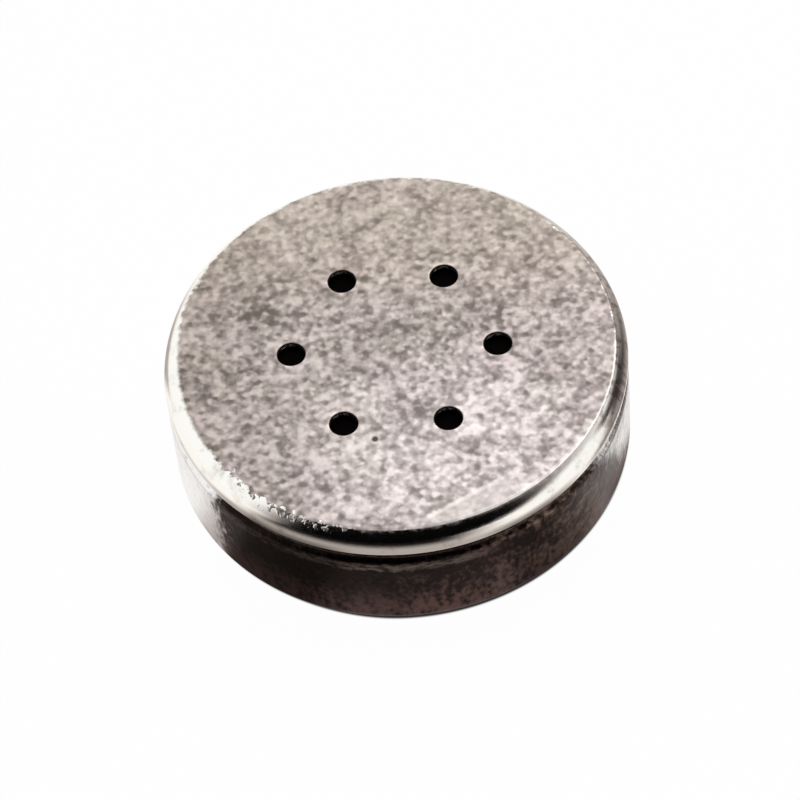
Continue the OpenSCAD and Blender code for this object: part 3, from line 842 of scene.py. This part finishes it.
def case_finish(colours, case):
    """Dark mottled tarnish with painted shade at the left front and at the foot, a painted highlight along
    the shoulder bead, painted light in the groove, abrasion under the foot, and bare metal at both sides of
    the wall as painted reflection.
    """
    look = Finish("Tarnished sheet")
    top = (cap_low.z - case.groove_height) / MM
    wall = case_high.x / MM
    streak = look.wrapped(1.1, 0.5, 2, 0.6, 4)
    mottle = look.wrapped(1.9, 1.3, 1, 0.5, 8)
    blotch = look.wrapped(0.55, 0.4, 2, 0.5, 12)
    cloud = look.spots(0.14, 3, 0.5, 15)
    mix = look.plus(look.weighed((streak, 0.25), (mottle, 0.45), (blotch, 0.3)), look.swing(cloud, 0.3))
    # brown patina, with a slope that makes it browner, so lighter, towards the bottom as painted reflection
    # of the floor
    brown = look.fade(look.plus(mix, look.slope(look.z, 7.5, 3, -0.05, 0.04)), 0.39, 0.63)
    golden = look.times(look.facing(18, 34, 52, 63), look.fade(cloud, 0.35, 0.6), 0.7)
    gold = look.blend(brown, (0.032, 0.021, 0.0155), (0.30, 0.23, 0.175))
    # painted shade: the tarnish is darker at the left front, most high on the wall
    painted_shade_left_front = look.times(look.facing(-70, -48, -8, 10), look.slope(look.z, 2, 6, 0.12, 0.85))
    line = look.times(look.band(look.z, top, -2.9, -2.5, -2.2, -1.8), 0.6)
    tarnish = look.coated(
        colours.patina,
        (brown, colours.patina_brown),
        (golden, gold),
        (painted_shade_left_front, (0.012, 0.008, 0.007)),
        (line, colours.patina),
        # painted shade: the tarnish darkens at the foot bend
        (look.fade(look.z, 0.9, 0.3, 0, 0.75), colours.patina),
        (look.times(look.facing(52, 60, 66, 74), 0.5), colours.patina))

    # painted highlight along the shoulder bead, on the front sides only and broken up by noise
    bead_noise = look.wrapped(0.8, 2.5, 3, 0.6, 6)
    sway = look.wrapped(0.8, 0, 3, 0.6, 51)
    bead = look.band(look.plus(look.z, look.swing(sway, 1.6)), top, -1.95, -1.45, -1.05, -0.35)
    shown = look.times(look.fade(look.side, 26, 14), look.slope(look.side, -30, -8, 0.4, 1))
    painted_bead_sheen = look.times(bead, shown, look.fade(bead_noise, 0.36, 0.6, 0.08, 1))
    # lighter metal under the foot, from abrasion
    under = look.times(look.fade(look.z, 0.06, 0), look.fade(mottle, 0.42, 0.66, 0, 0.55))
    # the painted bead highlight together with the abrasion under the foot
    thin = look.highest(painted_bead_sheen, under)
    # painted light: the groove, which lies in shade, gets a paler metal colour
    groove = look.times(look.fade(look.z, top - 0.1, top), look.fade(look.radius, wall - 0.2, wall - 0.6))

    # bare metal at both sides of the wall, placed as painted reflection of the bright sides and broken up by
    # stains
    frayed = look.plus(look.side, look.swing(mix, 18))
    left = look.sector(frayed, -156, -138, -55, -49)
    tilted = look.plus(frayed, look.slope(look.z, 0, 10.6, -14, 10))
    right = look.times(look.sector(tilted, 63, 73, 100, 124), look.fade(streak, 0.36, 0.6, 0.75, 1))
    stain = look.wrapped(0.9, 0.9, 3, 0.6, 29.7)
    bare_side_sheen = look.times(
        look.highest(left, right), look.fade(look.z, 0, 0.6), look.fade(look.z, 12.2, 11.9),
        look.fade(look.radius, wall - 3.2, wall - 3), look.fade(stain, 0.68, 0.56, 0.8, 1))
    bare = look.blend(look.fade(streak, 0.5, 0.8), colours.case_bare, (0.68, 0.66, 0.62))
    base = look.coated(tarnish, (thin, colours.case_worn), (groove, (0.50, 0.43, 0.40)), (bare_side_sheen, bare))
    dull = look.plus(look.fade(mottle, 0.3, 0.7, 0.3, 0.44), look.times(thin, 0.06))
    normal = look.bump(streak, 0.03, look.bump(mottle, 0.05))
    return look.surface(base, look.between(bare_side_sheen, dull, 0.24), normal, Metallic=1)


def silk_finish(colours):
    """Black oiled silk, darkened further as painted shade in the sound holes: a fine weave with little gloss.
    """
    look = Finish("Oiled silk")
    threads = look.times(*(look.math("SINE", look.times(place, 40)) for place in (look.x, look.y)))
    haze = look.spots(1.2, 3, 0.6, 1)
    base = look.blend(look.fade(haze, 0.3, 0.8), colours.silk, (0.0022, 0.0012, 0.001))
    roughness = look.fade(haze, 0.3, 0.7, 0.4, 0.6)
    return look.surface(base, roughness, look.bump(threads, 0.004), Specular_IOR_Level=0.01)


def brass_finish(colours):
    """Turned brass with rings from the tool and slight tarnish."""
    look = Finish("Turned brass")
    rings = look.math("SINE", look.times(look.radius, 55))
    tarnish = look.spots(0.7, 4, 0.6, 13)
    speck = look.spots(5, 3, 0.6, 17)
    base = look.blend(look.fade(tarnish, 0.42, 0.72), colours.brass, (0.36, 0.22, 0.09))
    roughness = look.plus(look.fade(tarnish, 0.3, 0.7, 0.2, 0.36), look.fade(speck, 0.5, 0.8, 0, 0.1))
    normal = look.bump(speck, 0.006, look.bump(rings, 0.003))
    return look.surface(base, roughness, normal, Metallic=1)


def aluminium_finish(colours):
    """Bright pressed aluminium with faint drawing marks."""
    look = Finish("Pressed aluminium")
    turn = look.math("ARCTAN2", look.y, look.x)
    marks = look.noise(look.join(look.times(look.radius, 9), turn, look.z), 1, 3, 0.6, 2)
    haze = look.spots(0.5, 3, 0.5, 19)
    base = look.blend(look.fade(haze, 0.35, 0.7), colours.aluminium, (0.66, 0.66, 0.67))
    return look.surface(base, look.fade(marks, 0.3, 0.7, 0.22, 0.38), look.bump(marks, 0.004), Metallic=1)


def fibre_finish(colours):
    """Vulcanised red fibre with pressed layers and a dull skin."""
    look = Finish("Red fibre")
    layers = look.noise(look.join(look.x, look.y, look.times(look.z, 12)), 0.9, 4, 0.65, 41)
    specks = look.spots(4, 3, 0.6, 43)
    base = look.coated(
        colours.fibre,
        (look.fade(layers, 0.35, 0.7), (0.19, 0.035, 0.022)),
        (look.fade(specks, 0.62, 0.8, 0, 0.5), (0.40, 0.13, 0.08)))
    return look.surface(base, look.fade(layers, 0.3, 0.7, 0.5, 0.64), look.bump(specks, 0.012))


# Finishes that one noise makes, by their colour property: the name, the noise, the levels between which
# the second colour comes in, that colour, the range of the roughness with its levels, the depth in
# millimetres, and other inputs
PLAIN_FINISHES = {
    "carbon": (
        "Pressed carbon", (7, 3, 0.7, 23), (0.4, 0.75), (0.11, 0.11, 0.115),
        (0.35, 0.7, 0.62, 0.34), 0.05, {}),
    "card": (
        "Pressed card", (3, 4, 0.7, 29, 1.2), (0.3, 0.7), (0.56, 0.42, 0.26),
        (0, 1, 0.82, 0.82), 0.03, {}),
    "felt": (
        "Wool felt", (2.4, 5, 0.75, 31, 2), (0.7, 0.3), (0.36, 0.32, 0.27),
        (0, 1, 0.95, 0.95), 0.16, {"Sheen_Weight": 0.35}),
    "phenolic": (
        "Moulded resin", (0.45, 4, 0.6, 37, 1.5), (0.35, 0.7), (0.07, 0.036, 0.024),
        (0.3, 0.7, 0.28, 0.4), 0.01, {}),
}


def plain_finish(colours, key):
    """A finish whose colour, roughness and height follow one noise."""
    name, noise, change, second, roughness, depth, others = PLAIN_FINISHES[key]
    look = Finish(name)
    spots = look.spots(*noise)
    base = look.blend(look.fade(spots, *change), getattr(colours, key), second)
    return look.surface(base, look.fade(spots, *roughness), look.bump(spots, depth), **others)


# Operators

class CAPSULE_OT_front_cap(bpy.types.Operator):
    """Turn and drill the front cap"""

    bl_idname = "capsule.front_cap"
    bl_label = "Front Cap"

    def execute(self, context):
        """Makes the cap in the place of its node."""
        settings = context.scene.capsule
        cap = settings.cap
        piece = turned_piece(
            "perforated_cap", cap_section(cap), cap_tree(), cap, face_radius=cap_high.x - cap.shoulder_width,
            face_height=cap_high.z, hole_radius=cap.hole_diameter / 2, hole_circle_radius=cap.hole_circle / 2,
            seed=4.0, material=cap_finish(settings.colours, cap))
        stand_for(piece, "front_cap")
        return {"FINISHED"}


class CAPSULE_OT_case(bpy.types.Operator):
    """Turn the pressed case"""

    bl_idname = "capsule.case"
    bl_label = "Case"

    def execute(self, context):
        """Makes the case in the place of its node."""
        settings = context.scene.capsule
        case = settings.case
        piece = turned_piece(
            "pressed_case", case_section(case), case_tree(), case, wall_radius=case_high.x,
            shoulder_height=cap_low.z - case.groove_height, seed=9.0,
            material=case_finish(settings.colours, case))
        stand_for(piece, "case")
        return {"FINISHED"}


class CAPSULE_OT_silk(bpy.types.Operator):
    """Lay the oiled silk behind the sound holes"""

    bl_idname = "capsule.silk"
    bl_label = "Oiled Silk"

    def execute(self, context):
        """Makes the silk in the place of its node."""
        settings = context.scene.capsule
        silk = settings.silk
        piece = turned_piece(
            "silk_sheet", silk_section(), silk_tree(), silk, free_radius=silk_high.x - silk.clamp_width,
            seed=2.0, material=silk_finish(settings.colours))
        stand_for(piece, "moisture_membrane")
        return {"FINISHED"}


class CAPSULE_OT_inner_pieces(bpy.types.Operator):
    """Finish the contact in the back and the pieces inside"""

    bl_idname = "capsule.inner_pieces"
    bl_label = "Contact and Inner Pieces"

    def execute(self, context):
        """Gives each of the frame's own meshes its finish."""
        colours = context.scene.capsule.colours
        groups = (
            (brass_finish(colours),
             ("contact_button", "electrode_holder", "contact_ring", "electrode_rivet", "rivet_washer")),
            (fibre_finish(colours), ("outer_washer", "insulating_bush", "inner_washer")),
            (aluminium_finish(colours), ("diaphragm",)),
            (plain_finish(colours, "carbon"), ("front_electrode", "back_electrode", "carbon_granules")),
            (plain_finish(colours, "card"), ("gasket_ring", "spacer_ring")),
            (plain_finish(colours, "felt"), ("damping_ring", "felt_ring")),
            (plain_finish(colours, "phenolic"), ("chamber_ring",)),
        )
        for material, nodes in groups:
            for node in nodes:
                dress(node, material)
        return {"FINISHED"}


class CAPSULE_OT_stage(bpy.types.Operator):
    """Set the floor, the light and the camera"""

    bl_idname = "capsule.stage"
    bl_label = "Floor, Light and Camera"

    def execute(self, context):
        """Makes everything that isn't part of the capsule."""
        stage = context.scene.capsule.stage
        lay_floor(stage)
        light_room(stage)
        hang_key_light(stage)
        place_camera(stage)
        context.scene.view_settings.view_transform = "Standard"
        return {"FINISHED"}


# Stage

# Soft shades round the capsule that its polished metal shows: the sides and the distances, in degrees
# and millimetres, at which each begins, is full, starts to end and ends, and its strength
FLOOR_SHADES = (
    ((60, 68, 82, 90), (0, 1, 24.5, 25.4), 0.65),
    ((60, 76, 88, 104), (28.5, 31, 32, 42), 0.45),
    ((-106, -80, -62, -50), (27.5, 30, 34, 41), 0.28),
    ((-142, -120, -110, -102), (27, 29.5, 50, 90), 0.55),
)
FLOOR_DEPTH = 0.02  # millimetres below the capsule's foot


def lay_floor(stage):
    """A round pale floor that the camera sees as near white, with a painted contact shadow round the
    capsule's foot over its faint real shadow.
    """
    mesh = bpy.data.meshes.new("floor")
    work = bmesh.new()
    bmesh.ops.create_circle(work, cap_ends=True, radius=stage.floor_radius, segments=96)
    bmesh.ops.translate(work, verts=work.verts, vec=(0, 0, -FLOOR_DEPTH * MM))
    work.to_mesh(mesh)
    work.free()
    look = Finish("Floor")
    paper = look.add("ShaderNodeBsdfDiffuse", {"Color": (0.82, 0.82, 0.82)})[0]
    # painted contact shadow: the white that the camera sees dims in a ring round the capsule's foot
    contact = look.plus(look.radius, look.times(look.facing(-176, -140, -30, 0), 0.2))
    lit = look.fade(contact, 23.7, 24, 0.03, 1)
    white = look.add("ShaderNodeEmission", {"Color": WHITE, "Strength": lit})[0]
    pale = look.mixed(look.times(look.seen(), 0.98), paper, white)
    glow = look.glow(floor_level(look), 0.97, 0.945)
    shown = look.add("ShaderNodeEmission", {"Color": glow, "Strength": 1})[0]
    upper = look.mixed(look.add("ShaderNodeLightPath")["Is Glossy Ray"], pale, shown)
    clear = look.add("ShaderNodeBsdfTransparent")[0]
    from_below = look.add("ShaderNodeNewGeometry")["Backfacing"]
    look.add("ShaderNodeOutputMaterial", {"Surface": look.mixed(from_below, upper, clear)})
    mesh.materials.append(look.material)
    new_object("floor", mesh)


def floor_level(look):
    """How bright polished metal shows the floor: darker near the capsule, ahead, behind and in shades."""
    deeper = look.highest(look.facing(-56, -48, -28, -12),
                          look.times(look.facing(24, 36, 46, 56), 0.75))
    depth = look.times(look.facing(-72, -56, 54, 66), look.between(deeper, 0.55, 0.88))
    shades = [
        look.times(depth, look.fade(look.radius, 50, 27)),
        look.times(look.facing(-62, -46, 12, 42), far_out(look, 28)),
    ]
    border = look.math("DIVIDE", look.plus(look.y, 16), look.x)
    shades.append(look.times(
        look.fade(border, 0.07, 0.29), look.fade(look.side, 50, 60),
        look.slope(look.side, 118, 172, 0.94, 0), look.fade(look.radius, 27.5, 30),
        far_out(look, 14)))
    for sides, reaches, strength in FLOOR_SHADES:
        shades.append(look.times(look.facing(*sides), look.sector(look.radius, *reaches), strength))
    return look.times(*(look.minus(1, shade) for shade in shades))


def far_out(look, start):
    """A level that grows from 0, at a distance in millimetres, towards 1."""
    fall = look.slope(look.radius, start, start + 100, 0, -5)
    return look.minus(1, look.math("EXPONENT", fall))


def light_room(stage):
    """Soft light from all round, with a dark front side that polished metal shows."""
    world = bpy.data.worlds.new("Studio")
    world.use_nodes = True
    bpy.context.scene.world = world
    net = NodeNet(world.node_tree)
    net.follow(net.add("ShaderNodeTexCoord")["Generated"])
    height = net.math("DEGREES", net.math("ARCSINE", net.z))
    low_edge, high_edge = (
        net.plus(*(net.slope(net.side, *bend) for bend in bends))
        for bends in (
            ((24, 46, -10, 4), (46, 70, 0, 20)),
            ((30, 60, 68, 60), (60, 84, 0, -21))))
    dark = net.times(
        net.facing(-70, -44, 98, 110), net.fade(net.side, 46, 100, 0.9985, 0.36),
        net.fade(net.minus(height, low_edge), -12, 12),
        net.fade(net.minus(high_edge, height), -13, 10))
    leaning = net.plus(net.side, net.times(height, 0.17))
    grey = net.times(
        net.fade(leaning, 90, 100), net.slope(net.side, 118, 172, 0.94, 0),
        net.fade(height, 31, 10))
    glow = net.glow(net.minus(1, net.highest(dark, grey)), 0.99, 0.98)
    room = net.add("ShaderNodeBackground", {"Color": glow, "Strength": stage.room_light})[0]
    white = net.add("ShaderNodeBackground", {"Color": WHITE, "Strength": 1})[0]
    net.add("ShaderNodeOutputWorld", {"Surface": net.mixed(net.seen(), room, white)})


def hang_key_light(stage):
    """A soft light above and behind the capsule, to the right."""
    light = bpy.data.lights.new("key", "AREA")
    light.shape = "DISK"
    light.size = 0.25
    light.energy = stage.key_power
    lamp = new_object("key", light)
    lamp.location = (0.13, 0.20, 0.33)
    lamp.rotation_euler = (-lamp.location).to_track_quat("-Z", "Y").to_euler()


def place_camera(stage):
    """The camera at the photograph's angle."""
    camera = bpy.data.cameras.new("camera")
    camera.lens = stage.lens
    camera.sensor_width = 36.0
    camera.shift_x = stage.shift_x
    camera.shift_y = stage.shift_y
    camera.clip_start = 0.01
    viewer = new_object("camera", camera)
    side, up_angle, roll = stage.azimuth, stage.elevation, stage.roll
    level = Vector((math.sin(side), -math.cos(side), 0.0))
    back = level * math.cos(up_angle) + Vector((0.0, 0.0, math.sin(up_angle)))
    right = Vector((math.cos(side), math.sin(side), 0.0))
    up = back.cross(right)
    across = right * math.cos(roll) + up * math.sin(roll)
    upward = up * math.cos(roll) - right * math.sin(roll)
    target = Vector((0.0, 0.0, stage.target_height))
    axes = Matrix((across, upward, back)).transposed()
    viewer.matrix_world = Matrix.Translation(target + back * stage.distance) @ axes.to_4x4()
    bpy.context.scene.camera = viewer


# Sidebar

class CAPSULE_PT_sidebar(bpy.types.Panel):
    """Sizes, colours and steps of the capsule"""

    bl_idname = "CAPSULE_PT_sidebar"
    bl_label = "Microphone Capsule"
    bl_space_type = "VIEW_3D"
    bl_region_type = "UI"
    bl_category = "Capsule"

    def draw(self, context):
        """Lists each group of settings, then each step."""
        settings = context.scene.capsule
        for name in ("cap", "case", "silk", "colours", "stage"):
            group = getattr(settings, name)
            box = self.layout.box()
            box.label(text=name.capitalize())
            for key in group.__annotations__:
                box.prop(group, key)
        for step in OPERATORS:
            self.layout.operator(step.bl_idname)


GROUPS = (CapSizes, CaseSizes, SilkSizes, Colours, StageSettings, CapsuleSettings)
OPERATORS = (
    CAPSULE_OT_front_cap,
    CAPSULE_OT_case,
    CAPSULE_OT_silk,
    CAPSULE_OT_inner_pieces,
    CAPSULE_OT_stage,
)
CLASSES = GROUPS + OPERATORS + (CAPSULE_PT_sidebar,)


def register():
    """Adds the classes, and the settings to the scene."""
    for item in CLASSES:
        bpy.utils.register_class(item)
    bpy.types.Scene.capsule = bpy.props.PointerProperty(type=CapsuleSettings)


def unregister():
    """Takes the settings and the classes away again."""
    del bpy.types.Scene.capsule
    for item in reversed(CLASSES):
        bpy.utils.unregister_class(item)


def main():
    register()
    bpy.ops.capsule.front_cap()
    bpy.ops.capsule.case()
    bpy.ops.capsule.silk()
    bpy.ops.capsule.inner_pieces()
    bpy.ops.capsule.stage()


if __name__ == "__main__":
    main()
